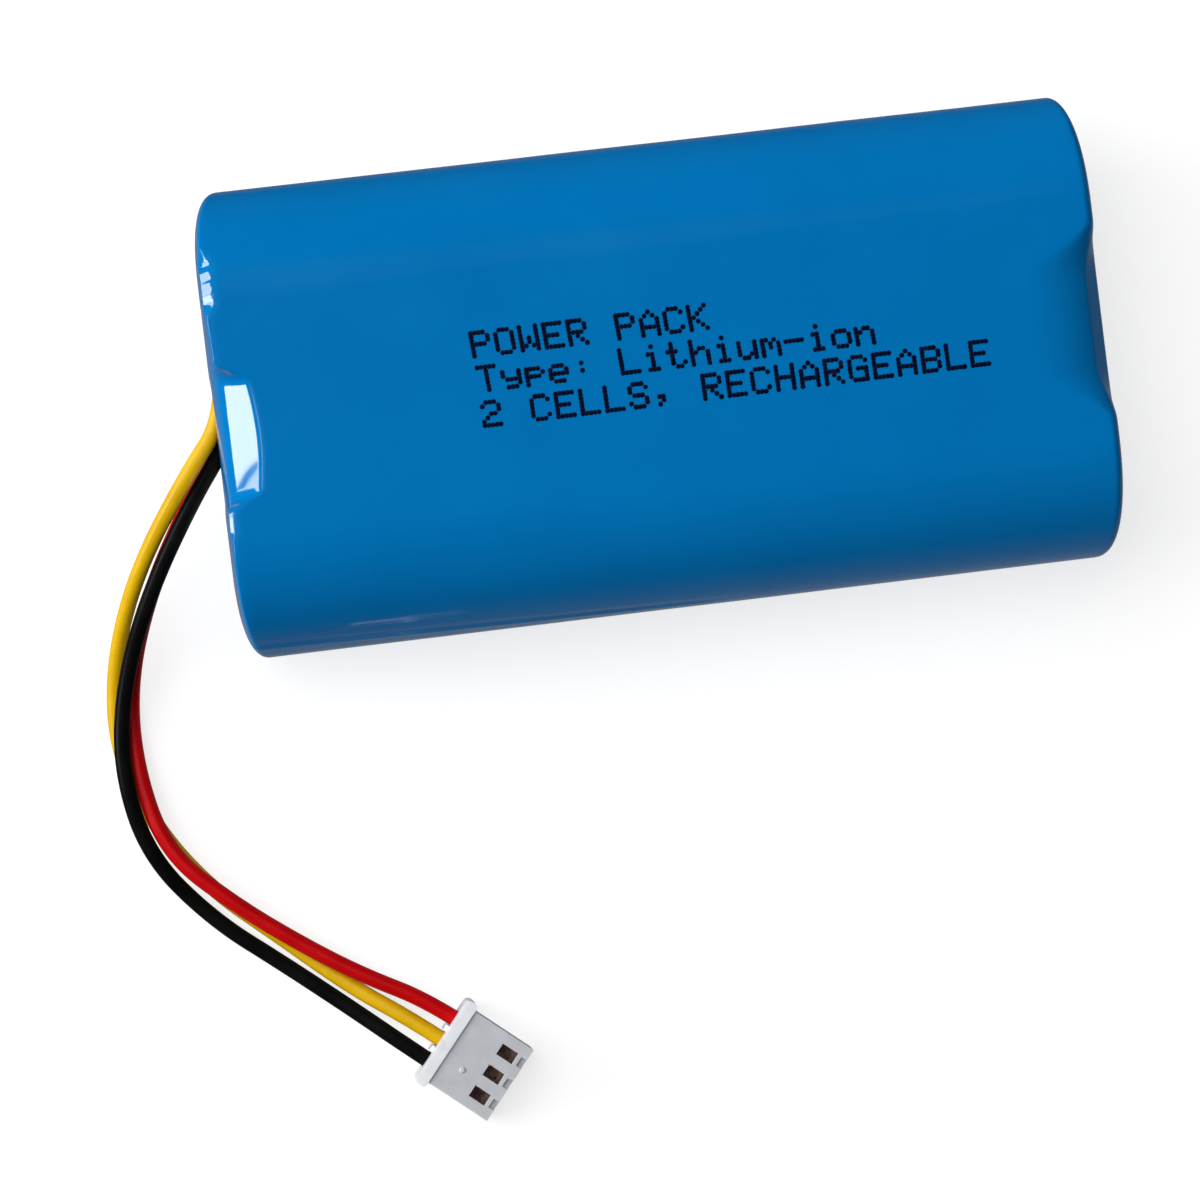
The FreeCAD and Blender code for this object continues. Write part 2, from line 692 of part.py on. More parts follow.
def make_board():
    """Protection board with its parts on its outer face."""
    mosfets = [chip(y, MOSFET_Z, MOSFET_SIZE) for y in MOSFET_YS]
    mosfet_legs = []
    for y in MOSFET_YS:
        mosfet_legs += chip_legs(y, MOSFET_Z, MOSFET_SIZE, MOSFET_LEGS_PER_SIDE)
    resistors = [chip(y, PASSIVE_Z, RESISTOR_SIZE) for y in RESISTOR_YS]
    capacitors = [chip(y, PASSIVE_Z, CAPACITOR_SIZE) for y in CAPACITOR_YS]
    return {
        "protection_board": make_bare_board(),
        "board_pads": make_board_pads(),
        "power_switches": Part.makeCompound(mosfets),
        "power_switch_legs": Part.makeCompound(mosfet_legs),
        "protection_chip": chip(*CHIP_PLACE, CHIP_SIZE),
        "protection_chip_legs": Part.makeCompound(chip_legs(*CHIP_PLACE, CHIP_SIZE, CHIP_LEGS_PER_SIDE)),
        "resistors": Part.makeCompound(resistors),
        "capacitors": Part.makeCompound(capacitors),
        "solder_joints": make_solder_joints(),
    }


def make_thermistor():
    """Temperature sensor in the upper valley, with its two legs through the board."""
    flat_x = THERMISTOR_X - THERMISTOR_RADIUS + THERMISTOR_FLAT
    bead = Part.makeSphere(THERMISTOR_RADIUS, Vector(THERMISTOR_X, 0, THERMISTOR_Z))
    span = 2 * (THERMISTOR_RADIUS + OVERCUT)
    beyond = block((flat_x - span, flat_x), around(0, span), around(THERMISTOR_Z, span))
    tip_x = PAD_FACE_X - THERMISTOR_LEG_STICKOUT
    legs = []
    for leg_y in THERMISTOR_LEG_YS:
        start = Vector(tip_x, leg_y, THERMISTOR_Z)
        legs.append(Part.makeCylinder(THERMISTOR_LEG_RADIUS, flat_x - tip_x, start, ALONG_X))
    return {"thermistor_bead": bead.cut(beyond), "thermistor_legs": Part.makeCompound(legs)}


# ---------------------------------------------------------------- plug

def in_pack(shape):
    """Plug shape moved from its own frame to its place beside the pack."""
    shape.rotate(Vector(0, 0, 0), ALONG_Z, PLUG_TURN)
    shape.translate(PLUG_PLACE)
    return shape


def plug_point(forwards, across, up):
    """Point given in the plug's own frame."""
    turn = math.radians(PLUG_TURN)
    x = PLUG_PLACE.x + forwards * math.cos(turn) - across * math.sin(turn)
    y = PLUG_PLACE.y + forwards * math.sin(turn) + across * math.cos(turn)
    return Vector(x, y, up)


def make_housing():
    """Moulded housing: flange, body, and a cavity, window and pin port per contact."""
    flange = block((0, FLANGE_THICKNESS), around(0, FLANGE_WIDTH), (0, FLANGE_HEIGHT))
    upright = [edge for edge in flange.Edges if edge.BoundBox.ZLength > FLANGE_HEIGHT / 2]
    flange = flange.makeFillet(FLANGE_CORNER, upright)
    body_x = (FLANGE_THICKNESS - BODY_OVERLAP, PLUG_LENGTH)
    body = block(body_x, around(0, PLUG_WIDTH), (PLUG_BOTTOM, PLUG_TOP))
    housing = joined(flange, body)
    gate = Part.makeCone(*GATE_RADII, GATE_HEIGHT, Vector(*GATE_PLACE, PLUG_TOP), ALONG_Z)
    ribs = [block(RIB_X, around(y, RIB_WIDTH), around(CONTACT_Z, RIB_HEIGHT)) for y in RIB_YS]
    housing = joined(housing, gate, *ribs)
    front = PLUG_LENGTH + OVERCUT
    top = PLUG_TOP + OVERCUT
    for across in SLOTS.values():
        entry_start = Vector(RIB_X[0] - OVERCUT, across, CONTACT_Z)
        entry = Part.makeCylinder(ENTRY_RADIUS, ENTRY_LENGTH - entry_start.x, entry_start, ALONG_X)
        cavity = block((LEAD_STOP, CAVITY_END), around(across, CAVITY_WIDTH), CAVITY_Z)
        window = block(WINDOW_X, around(across, WINDOW_WIDTH), (CONTACT_Z, top))
        notch = block((NOTCH_START, front), around(across, NOTCH_WIDTH), (PLUG_TOP - NOTCH_DEPTH, top))
        port = block((PORT_START, front), around(across, PORT_WIDTH), around(CONTACT_Z, PORT_WIDTH))
        for gap in (entry, cavity, window, notch, port):
            housing = housing.cut(gap)
    return in_pack(housing)


def make_contact(across):
    """Crimp contact: barrel on the lead, box receptacle and locking lance."""
    barrel_start = Vector(LEAD_STOP, across, CONTACT_Z)
    barrel = Part.makeCylinder(BARREL_RADIUS, BARREL_LENGTH, barrel_start, ALONG_X)
    box = block(RECEPTACLE_X, around(across, RECEPTACLE_WIDTH), RECEPTACLE_Z)
    hollow_x = (RECEPTACLE_X[0] + RECEPTACLE_BACK, RECEPTACLE_X[1] + OVERCUT)
    hollow_z = (RECEPTACLE_Z[0] + RECEPTACLE_WALL, RECEPTACLE_Z[1] - RECEPTACLE_WALL)
    hollow = block(hollow_x, around(across, RECEPTACLE_WIDTH - 2 * RECEPTACLE_WALL), hollow_z)
    lance_z = (RECEPTACLE_Z[1], RECEPTACLE_Z[1] + LANCE_HEIGHT)
    lance = block(LANCE_X, around(across, LANCE_WIDTH), lance_z)
    return in_pack(joined(barrel, box.cut(hollow), lance))


# ---------------------------------------------------------------- leads

# Points of each lead's route between the board and the plug. The leads leave the
# end together, fall to the surface the pack lies on, and cross on the way: black
# passes over red and yellow, then red passes over yellow.
ROUTES = {
    "black": [
        (-34.27, -0.75, 9.4),
        (-38.0, -5.6, 9.0),
        (-42.4, -12.7, 6.2),
        (-45.2, -19.5, 2.8),
        (-46.2, -26.0, 2.6),
        (-44.9, -33.2, 1.9),
        (-40.3, -39.1, 0.65),
        (-35.0, -43.4, 0.65),
        (-29.8, -47.8, 1.3),
    ],
    "yellow": [
        (-34.27, 1.1, 11.0),
        (-38.4, -3.8, 9.8),
        (-43.1, -10.7, 6.2),
        (-45.8, -17.6, 1.9),
        (-46.4, -24.6, 0.65),
        (-44.0, -31.2, 0.65),
        (-40.1, -36.7, 0.65),
        (-35.0, -41.2, 0.65),
        (-29.8, -45.9, 1.2),
    ],
    "red": [
        (-34.27, 0.1, 7.8),
        (-38.0, -5.2, 7.2),
        (-42.2, -12.2, 3.7),
        (-44.7, -19.2, 0.7),
        (-45.0, -26.0, 1.7),
        (-43.4, -33.2, 2.2),
        (-38.1, -38.3, 2.1),
        (-33.0, -42.2, 2.1),
        (-28.8, -45.0, 2.3),
    ],
}


def route_points(colour):
    """Whole route of a lead, from its cut end on the board to its contact."""
    height, start_y = LEAD_STARTS[colour]
    points = [Vector(LEAD_START_X, start_y, height)]
    points += [Vector(*point) for point in ROUTES[colour]]
    points.append(plug_point(-LEAD_STRAIGHT, SLOTS[colour], CONTACT_Z))
    points.append(plug_point(LEAD_STOP, SLOTS[colour], CONTACT_Z))
    return points


def lead_path(points):
    """Straight runs joined by tangent arcs, with the radius of each arc."""
    edges = []
    radii = []
    start = points[0]
    for before, corner, after in zip(points, points[1:], points[2:]):
        inward = (corner - before).normalize()
        outward = (after - corner).normalize()
        half_turn = inward.getAngle(outward) / 2
        setback = ARC_SHARE * min(corner.distanceToPoint(before), corner.distanceToPoint(after))
        radius = setback / math.tan(half_turn)
        first = corner - inward * setback
        last = corner + outward * setback
        middle = corner + (outward - inward).normalize() * (radius / math.cos(half_turn) - radius)
        edges.append(Part.LineSegment(start, first).toShape())
        edges.append(Part.Arc(first, middle, last).toShape())
        radii.append(radius)
        start = last
    edges.append(Part.LineSegment(start, points[-1]).toShape())
    return Part.Wire(edges), radii


def make_lead(colour):
    """Round insulated lead swept along its route."""
    path, radii = lead_path(route_points(colour))
    direction = path.Edges[0].tangentAt(path.Edges[0].FirstParameter)
    circle = Part.Edge(Part.Circle(path.Vertexes[0].Point, direction, LEAD_DIAMETER / 2))
    tube = path.makePipeShell([Part.Wire([circle])], True, False)
    section = math.pi * LEAD_DIAMETER ** 2 / 4
    share = tube.Volume / (section * path.Length)
    smallest = min(radii) / LEAD_DIAMETER
    print(colour, "lead: length", round(path.Length, 2), "volume share", round(share, 4))
    print("   radii", [round(radius, 1) for radius in radii], "smallest in diameters", round(smallest, 2))
    if smallest < MIN_RADIUS_IN_DIAMETERS:
        print("   bend too tight")
    return tube


def make_plug_and_leads():
    """Plug housing, and the contact and lead of each colour."""
    nodes = {"plug_housing": make_housing()}
    for colour, across in SLOTS.items():
        nodes["contact_" + colour] = make_contact(across)
        nodes["lead_" + colour] = make_lead(colour)
    return nodes


# ---------------------------------------------------------------- whole pack

def make_pack():
    """Every node of the pack by name."""
    nodes = {"sleeve": make_sleeve()}
    nodes.update(make_insulators())
    nodes.update(make_cells())
    nodes.update(make_strips())
    nodes["cell_glue"] = make_cell_glue()
    nodes.update(make_board())
    nodes.update(make_thermistor())
    nodes.update(make_plug_and_leads())
    return nodes


os.makedirs("parts", exist_ok=True)
for node, shape in make_pack().items():
    shape.exportStep("parts/" + node + ".step")
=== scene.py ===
import json
import math

import bmesh
import bpy
from mathutils import Matrix, Vector, noise


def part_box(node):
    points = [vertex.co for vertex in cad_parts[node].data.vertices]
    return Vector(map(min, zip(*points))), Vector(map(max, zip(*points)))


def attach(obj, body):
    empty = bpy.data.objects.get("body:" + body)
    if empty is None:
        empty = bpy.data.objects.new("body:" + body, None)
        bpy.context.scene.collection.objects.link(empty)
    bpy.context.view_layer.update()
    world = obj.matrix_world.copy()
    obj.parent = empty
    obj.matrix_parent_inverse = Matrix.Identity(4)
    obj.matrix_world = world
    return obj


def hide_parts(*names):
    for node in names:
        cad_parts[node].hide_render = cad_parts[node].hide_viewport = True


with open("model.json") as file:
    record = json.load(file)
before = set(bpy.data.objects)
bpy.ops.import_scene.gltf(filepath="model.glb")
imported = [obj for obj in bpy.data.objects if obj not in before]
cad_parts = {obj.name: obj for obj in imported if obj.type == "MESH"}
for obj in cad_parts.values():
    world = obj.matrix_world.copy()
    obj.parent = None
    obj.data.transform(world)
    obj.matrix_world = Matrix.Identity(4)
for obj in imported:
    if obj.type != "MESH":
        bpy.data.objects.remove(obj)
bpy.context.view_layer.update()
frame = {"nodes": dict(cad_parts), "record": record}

# Lengths below are in millimetres, in the pack's own frame, and MM turns them into metres.
MM = 0.001
NODES = frame["nodes"]
BODY = "root"

sleeve_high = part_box("sleeve")[1]
HALF_LENGTH = sleeve_high.x / MM
HALF_WIDTH = sleeve_high.y / MM
HALF_HEIGHT = sleeve_high.z / MM / 2
SPINE = HALF_WIDTH - HALF_HEIGHT


def link(name, data):
    """New object holding this data, in the scene."""
    made = bpy.data.objects.new(name, data)
    bpy.context.scene.collection.objects.link(made)
    return made


def from_mm(point):
    """Vector in metres from a point in millimetres."""
    return Vector(point) * MM


# ---------------------------------------------------------------- camera

def aimed(place, aim, up):
    """Matrix of something at a place that looks along its own -Z at a point."""
    back = (place - aim).normalized()
    right = up.cross(back).normalized()
    turn = Matrix((right, back.cross(right), back)).transposed()
    return Matrix.Translation(place) @ turn.to_4x4()


CAMERA_PLACE = (-36.23, -18.99, 407.7)
CAMERA_AIM = (-5.93, -17.14, 0)
CAMERA_UP = (0.1198, 0.9927, 0.0134)
CAMERA_LENS = 150.2
CAMERA_SENSOR = 36
CAMERA_NEAREST = 10


def make_camera():
    """Camera above the pack, a little past its lead end, turned so that the pack leans."""
    data = bpy.data.cameras.new("camera")
    data.sensor_width = CAMERA_SENSOR
    data.lens = CAMERA_LENS
    data.clip_start = CAMERA_NEAREST * MM
    camera = link("camera", data)
    camera.matrix_world = aimed(from_mm(CAMERA_PLACE), from_mm(CAMERA_AIM), Vector(CAMERA_UP))
    bpy.context.scene.camera = camera


# ---------------------------------------------------------------- leads

# The plug's own frame: forwards out of its mating face, across its contacts, and up
PLUG_PLACE = (-23.25, -50.8)
PLUG_TURN = math.radians(-40.5)
CONTACT_Z = 2.4
FLANGE_THICKNESS = 1.0
LEAD_STRAIGHT = 2.5
LEAD_STOP = 1.5
LEAD_DIAMETER = 1.3
LEAD_RUN_STEPS = 20
LEAD_ROUND_STEPS = 10
LEAD_SLOTS = {"red": 2.0, "yellow": 0.0, "black": -2.0}
LEAD_ROUTES = {
    "black": [
        (-34.27, 4.8, 9.4), (-34.27, -0.75, 9.4), (-38.0, -5.6, 9.0), (-42.4, -12.7, 6.2),
        (-45.2, -19.5, 2.8), (-46.2, -26.0, 2.6), (-44.9, -33.2, 1.9), (-40.3, -39.1, 0.65),
        (-35.0, -43.4, 0.65), (-29.8, -47.8, 1.3),
    ],
    "yellow": [
        (-34.27, 6.7, 11.0), (-34.27, 1.1, 11.0), (-38.4, -3.8, 9.8), (-43.1, -10.7, 6.2),
        (-45.8, -17.6, 1.9), (-46.4, -24.6, 0.65), (-44.0, -31.2, 0.65), (-40.1, -36.7, 0.65),
        (-35.0, -41.2, 0.65), (-29.8, -45.9, 1.2),
    ],
    "red": [
        (-34.27, 5.7, 7.8), (-34.27, 0.1, 7.8), (-38.0, -5.2, 7.2), (-42.2, -12.2, 3.7),
        (-44.7, -19.2, 0.7), (-45.0, -26.0, 1.7), (-43.4, -33.2, 2.2), (-38.1, -38.3, 2.1),
        (-33.0, -42.2, 2.1), (-28.8, -45.0, 2.3),
    ],
}


def plug_point(forwards, across, up):
    """Point given in the plug's own frame."""
    x = PLUG_PLACE[0] + forwards * math.cos(PLUG_TURN) - across * math.sin(PLUG_TURN)
    y = PLUG_PLACE[1] + forwards * math.sin(PLUG_TURN) + across * math.cos(PLUG_TURN)
    return (x, y, up)


def lead_route(colour):
    """Points that a lead follows, from its solder joint to its contact."""
    slot = LEAD_SLOTS[colour]
    last = [plug_point(-LEAD_STRAIGHT, slot, CONTACT_Z), plug_point(LEAD_STOP, slot, CONTACT_Z)]
    return LEAD_ROUTES[colour] + last


def make_lead(colour):
    """One insulated lead as a smooth curve."""
    points = lead_route(colour)
    curve = bpy.data.curves.new("wire_" + colour, "CURVE")
    curve.dimensions = "3D"
    spline = curve.splines.new("NURBS")
    spline.points.add(len(points) - 1)
    for control, point in zip(spline.points, points):
        control.co = (*from_mm(point), 1)
    spline.order_u = 3
    spline.use_endpoint_u = True
    spline.resolution_u = LEAD_RUN_STEPS
    curve.bevel_depth = LEAD_DIAMETER / 2 * MM
    curve.bevel_resolution = LEAD_ROUND_STEPS
    curve.use_fill_caps = True
    return link("wire_" + colour, curve)


make_camera()
leads = {colour: make_lead(colour) for colour in LEAD_ROUTES}

# ---------------------------------------------------------------- materials

# Part of a noise field's range over which tone and roughness change
FIELD_RANGE = (0.3, 0.7)
NOISE_DETAIL = 3.0


def new_material(name):
    """Empty procedural material as its node tree and shader."""
    material = bpy.data.materials.new(name)
    material.use_nodes = True
    tree = material.node_tree
    return material, tree, tree.nodes["Principled BSDF"]


def place_field(tree, stretch=(1, 1, 1)):
    """Place on the object, stretched along each axis."""
    coordinates = tree.nodes.new("ShaderNodeTexCoord")
    mapping = tree.nodes.new("ShaderNodeMapping")
    mapping.inputs["Scale"].default_value = stretch
    tree.links.new(coordinates.outputs["Object"], mapping.inputs["Vector"])
    return mapping.outputs["Vector"]


def noise_field(tree, size, stretch):
    """Noise whose lumps are about this many millimetres across."""
    texture = tree.nodes.new("ShaderNodeTexNoise")
    texture.inputs["Scale"].default_value = 1 / (size * MM)
    texture.inputs["Detail"].default_value = NOISE_DETAIL
    tree.links.new(place_field(tree, stretch), texture.inputs["Vector"])
    return texture.outputs["Fac"]


def cell_field(tree, size):
    """Rounded cells about this many millimetres across."""
    texture = tree.nodes.new("ShaderNodeTexVoronoi")
    texture.feature = "SMOOTH_F1"
    texture.inputs["Scale"].default_value = 1 / (size * MM)
    tree.links.new(place_field(tree), texture.inputs["Vector"])
    return texture.outputs["Distance"]


def tint(tree, shader, field, dark, light):
    """Base colour that moves between two tones with a field."""
    ramp = tree.nodes.new("ShaderNodeValToRGB")
    for element, tone, limit in zip(ramp.color_ramp.elements, (dark, light), FIELD_RANGE):
        element.position = limit
        element.color = (*tone, 1)
    tree.links.new(field, ramp.inputs["Fac"])
    tree.links.new(ramp.outputs["Color"], shader.inputs["Base Color"])


def gloss(tree, shader, field, low, high):
    """Roughness that moves between two values with a field."""
    spread = tree.nodes.new("ShaderNodeMapRange")
    spread.inputs["From Min"].default_value, spread.inputs["From Max"].default_value = FIELD_RANGE
    spread.inputs["To Min"].default_value = low
    spread.inputs["To Max"].default_value = high
    tree.links.new(field, spread.inputs["Value"])
    tree.links.new(spread.outputs["Result"], shader.inputs["Roughness"])


def emboss(tree, shader, field, height):
    """Relief of this many millimetres from a field."""
    bump = tree.nodes.new("ShaderNodeBump")
    bump.inputs["Distance"].default_value = height * MM
    bump.inputs["Strength"].default_value = 1.0
    tree.links.new(field, bump.inputs["Height"])
    tree.links.new(bump.outputs["Normal"], shader.inputs["Normal"])


def make_finish(name, tones, size, roughness, relief, stretch=(1, 1, 1), grain=None, sockets=()):
    """Material between two tones and two roughnesses, whose lumps have this size in millimetres.

    Its relief is (height, size) in millimetres, of noise or of another grain, and sockets
    gives the shader's uniform values.
    """
    material, tree, shader = new_material(name)
    broad = noise_field(tree, size, stretch)
    tint(tree, shader, broad, *tones)
    gloss(tree, shader, broad, *roughness)
    fine = grain(tree, relief[1]) if grain else noise_field(tree, relief[1], stretch)
    emboss(tree, shader, fine, relief[0])
    for socket, value in dict(sockets).items():
        shader.inputs[socket].default_value = value
    return material


METAL = {"Metallic": 1.0}
NYLON = {
    "Subsurface Weight": 0.35,
    "Subsurface Radius": (1, 1, 1),
    "Subsurface Scale": 0.6 * MM,
}
ALONG = (0.05, 1, 1)

FINISHES = {
    "sleeve_film": make_finish(
        "sleeve_film", ((0.0, 0.140, 0.398), (0.0, 0.149, 0.416)), 9, (0.05, 0.08), (0.006, 5),
        sockets={"IOR": 1.53}),
    "print_ink": make_finish(
        "print_ink", ((0.0, 0.001, 0.012), (0.001, 0.003, 0.02)), 0.3, (0.45, 0.6), (0.004, 0.08),
        sockets={"Specular IOR Level": 0.1}),
    "insulating_board": make_finish(
        "insulating_board", ((0.70, 0.67, 0.58), (0.82, 0.80, 0.73)), 0.6, (0.6, 0.8), (0.02, 0.12),
        stretch=(1, 0.3, 1)),
    "foam": make_finish(
        "foam", ((0.02, 0.02, 0.02), (0.06, 0.06, 0.06)), 0.5, (0.85, 0.95), (0.15, 0.35),
        grain=cell_field),
    "nickel": make_finish(
        "nickel", ((0.52, 0.50, 0.45), (0.70, 0.67, 0.61)), 0.5, (0.22, 0.4), (0.004, 0.05),
        stretch=(1, 0.08, 1), sockets=METAL),
    "amber_tape": make_finish(
        "amber_tape", ((0.40, 0.15, 0.01), (0.56, 0.26, 0.03)), 2, (0.15, 0.3), (0.01, 0.4),
        sockets={"Transmission Weight": 0.35}),
    "clear_glue": make_finish(
        "clear_glue", ((0.80, 0.78, 0.70), (0.90, 0.89, 0.84)), 2, (0.15, 0.35), (0.08, 0.8),
        sockets={"Transmission Weight": 0.5}),
    "circuit_board": make_finish(
        "circuit_board", ((0.008, 0.085, 0.025), (0.02, 0.16, 0.05)), 1.1, (0.2, 0.32), (0.02, 0.5)),
    "gold_pad": make_finish(
        "gold_pad", ((0.72, 0.48, 0.15), (0.88, 0.66, 0.28)), 0.4, (0.2, 0.35), (0.005, 0.1),
        sockets=METAL),
    "chip_plastic": make_finish(
        "chip_plastic", ((0.012, 0.012, 0.014), (0.03, 0.03, 0.032)), 0.3, (0.45, 0.6), (0.01, 0.05)),
    "ceramic_tan": make_finish(
        "ceramic_tan", ((0.34, 0.23, 0.13), (0.48, 0.34, 0.20)), 0.2, (0.4, 0.55), (0.01, 0.06)),
    "solder": make_finish(
        "solder", ((0.55, 0.55, 0.56), (0.78, 0.78, 0.78)), 0.3, (0.12, 0.35), (0.03, 0.3),
        sockets=METAL),
    "sensor_resin": make_finish(
        "sensor_resin", ((0.015, 0.015, 0.015), (0.04, 0.04, 0.04)), 0.5, (0.3, 0.5), (0.04, 0.4)),
    "plug_nylon": make_finish(
        "plug_nylon", ((0.43, 0.44, 0.465), (0.48, 0.495, 0.52)), 1.5, (0.32, 0.45), (0.006, 0.12),
        sockets=NYLON),
    # Painted light: the flange is the housing's own nylon in a lighter tone, standing in for how much
    # brighter it catches the light
    "flange_nylon_painted_light": make_finish(
        "flange_nylon_painted_light", ((0.66, 0.675, 0.70), (0.74, 0.755, 0.78)), 1.5, (0.25, 0.35), (0.006, 0.12),
        sockets=NYLON),
    "contact_bronze": make_finish(
        "contact_bronze", ((0.55, 0.29, 0.22), (0.86, 0.58, 0.48)), 0.3, (0.25, 0.45), (0.01, 0.1),
        sockets=METAL),
    "lead_red": make_finish(
        "lead_red", ((0.38, 0.001, 0.002), (0.45, 0.001, 0.003)), 3, (0.28, 0.38), (0.012, 0.5),
        sockets={"Specular IOR Level": 0.12}),
    "lead_yellow": make_finish(
        "lead_yellow", ((0.52, 0.30, 0.001), (0.60, 0.36, 0.002)), 3, (0.28, 0.38), (0.012, 0.5),
        sockets={"Specular IOR Level": 0.2}),
    "lead_black": make_finish(
        "lead_black", ((0.002, 0.002, 0.002), (0.004, 0.004, 0.004)), 3, (0.3, 0.42), (0.012, 0.5),
        sockets={"Specular IOR Level": 0.06}),
    "steel_can": make_finish(
        "steel_can", ((0.50, 0.50, 0.48), (0.68, 0.67, 0.64)), 0.8, (0.2, 0.35), (0.004, 0.08),
        stretch=ALONG, sockets=METAL),
    "cell_wrap": make_finish(
        "cell_wrap", ((0.01, 0.24, 0.38), (0.02, 0.30, 0.46)), 6, (0.15, 0.25), (0.01, 3)),
    "paper_washer": make_finish(
        "paper_washer", ((0.74, 0.74, 0.70), (0.86, 0.86, 0.83)), 0.4, (0.75, 0.9), (0.02, 0.1)),
    "aluminium": make_finish(
        "aluminium", ((0.66, 0.66, 0.67), (0.80, 0.80, 0.81)), 0.5, (0.25, 0.4), (0.004, 0.06),
        stretch=(1, 0.1, 1), sockets=METAL),
    "gasket_plastic": make_finish(
        "gasket_plastic", ((0.60, 0.60, 0.57), (0.72, 0.72, 0.70)), 1, (0.4, 0.55), (0.01, 0.2)),
    "electrode": make_finish(
        "electrode", ((0.03, 0.03, 0.03), (0.24, 0.23, 0.22)), 0.3, (0.4, 0.6), (0.03, 0.15),
        stretch=ALONG),
    "floor": make_finish(
        "floor", ((0.30, 0.30, 0.30), (0.31, 0.31, 0.31)), 40, (0.5, 0.6), (0.01, 1.5),
        sockets={"Emission Color": (1, 1, 1, 1), "Emission Strength": 0.74}),
}


def paint(piece, name):
    """Gives a piece one of the finishes as its only material."""
    piece.data.materials.clear()
    piece.data.materials.append(FINISHES[name])


def settle(piece, slot, finish=None):
    """Paints a new piece and makes it ride on the pack."""
    paint(piece, finish or slot)
    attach(piece, BODY)


def paint_cad_nodes():
    """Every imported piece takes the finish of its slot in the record."""
    for part in frame["record"]["subparts"]:
        piece = NODES[part["node"]]
        if piece.material_slots:
            piece.material_slots[0].material = FINISHES[part["material_slot"]]
        else:
            piece.data.materials.append(FINISHES[part["material_slot"]])


# ---------------------------------------------------------------- mesh helpers

def mesh_object(name, shape):
    """Object from a bmesh, smooth shaded."""
    bmesh.ops.recalc_face_normals(shape, faces=shape.faces)
    mesh = bpy.data.meshes.new(name)
    shape.to_mesh(mesh)
    shape.free()
    mesh.shade_smooth()
    return link(name, mesh)


def ease(value):
    """Smooth step from 0 to 1."""
    share = min(max(value, 0.0), 1.0)
    return share * share * (3 - 2 * share)


def between(value, low, high, fade_in, fade_out):
    """1 between two limits and 0 outside them, eased over a length inside each."""
    return ease((value - low) / fade_in) * ease((high - value) / fade_out)


def lumps(*place):
    """Smooth noise between -1 and 1 at a place."""
    return noise.noise(Vector(place))


def mix(first, second, share):
    """Value this share of the way from the first to the second."""
    return first + (second - first) * share


def bend(first, handle, last, share):
    """Point on a quadratic curve."""
    one = [mix(a, b, share) for a, b in zip(first, handle)]
    two = [mix(a, b, share) for a, b in zip(handle, last)]
    return [mix(a, b, share) for a, b in zip(one, two)]


# ---------------------------------------------------------------- sleeve

# An end is -1 at the leads or 1 at the rear, and a side is -1 or 1 for the -Y or +Y cell.
# A place on a fold is (gap, sink): its distance from the pack's end plane, and how far
# it has turned in from the sleeve's outside. Share runs from 0 at the fold's start to 1
# at its mouth. Names in LIMITS hold what between() takes after its value.
SKIN_CLEARANCE = 0.03
SKIN_RADIUS = HALF_HEIGHT - SKIN_CLEARANCE
FILM = 0.12
WEB_STEPS = 56
LOBE_STEPS = 120
FOLD_STEPS = 34
BODY_STEPS = 96

# Cut edge of the film: how far in it lies, how uneven it is, and how fast that changes
# with y, with the upward part of the normal and from end to end
MOUTH_INSET = 6.0
MOUTH_WAVE = 0.25
MOUTH_CHANGES = (0.35, 2.0, 7.0)

# Folds: how far the film turns in, how far along the pack it takes, and its squareness.
# Each end has a fold on its +Y side, on its -Y side, and over and under the cells.
SIDE_FOLDS = {
    (-1, 1): (6.9, 2.6, 2.0),
    (-1, -1): (6.7, 2.2, 2.0),
    (1, 1): (7.0, 1.8, 2.0),
    (1, -1): (6.4, 2.1, 2.35),
}
FLAT_FOLDS = {-1: (6.4, 0.4, 2.2), 1: (6.4, 1.2, 2.6)}

# Flat crumpled facets on the folds at the lead end, for the +Y and -Y cells: the gap at
# which they start, and the place of the knee at which the film turns down
FACETS = {1: (1.0, 0.2, 0.57), -1: (0.45, 0.2, 0.18)}
FACET_HANDLE = (0.05, 1.5)
FACET_LIP_GAP = 0.03
CRUMPLE_PITCH = 14
CRUMPLE_SEED = (0.3, 5.0)
CRUMPLE_GAP = 0.35
CRUMPLE_SINK = 0.12

# The +Y facet fades in before its cell's spine and ends where the film leans this far
# sideways, and the -Y one lies between its start and its cell's spine
FACET_FADE = 1.2
FACET_EDGE = 0.5
FACET_EDGE_FADE = 0.16
LOWER_FACET_START = 6.6
LOWER_FACET_FADES = (0.3, 0.25)

# How much further back the folds start beside the dip at the lead end
FLARE = 0.05
FLARE_SOFTNESS = 1.5
FLARE_DEPTH = 4.5

# Flat ramp between the cells at the lead end. The start and the knee's gap are given at
# its middle, with how much they lose per square millimetre to the sides. Every knee is
# halfway along its fold, and the ramp is straight from its own share to there.
RAMP_MIDDLE = -1.4
RAMP_START = (3.35, 0.025)
RAMP_KNEE_GAP = (1.1, 0.011)
RAMP_KNEE_SINK = 1.65
RAMP_ROUNDING = 0.4
RAMP_SHARE = 0.25
RAMP_HANDLE = (0.15, 2.4)
RAMP_LIP_GAP = 0.08
RAMP_LIMITS = (-7.1, 4.6, 1.4, 1.6)

# Places along the soft dip between the cells at the rear end
HOLLOW_START = (6.2, 0.0)
HOLLOW_HANDLE = (2.6, 0.1)
HOLLOW_KNEE = (1.45, 1.4)
HOLLOW_CHEEK = (0.12, 3.9)
HOLLOW_CHEEK_SHARE = 0.85
HOLLOW_LIP_GAP = 0.05
HOLLOW_LIMITS = (-8.0, 8.0, 4.5, 4.5)

# Depth in a fold at which the relief below has faded
CALM_DEPTH = 2

# Broad lumps all round the cells: their height, and their size along and round the pack
LUMP_HEIGHT = 0.02
LUMP_LENGTH = 11
LUMP_WIDTH = 5
LUMP_SEED = 9

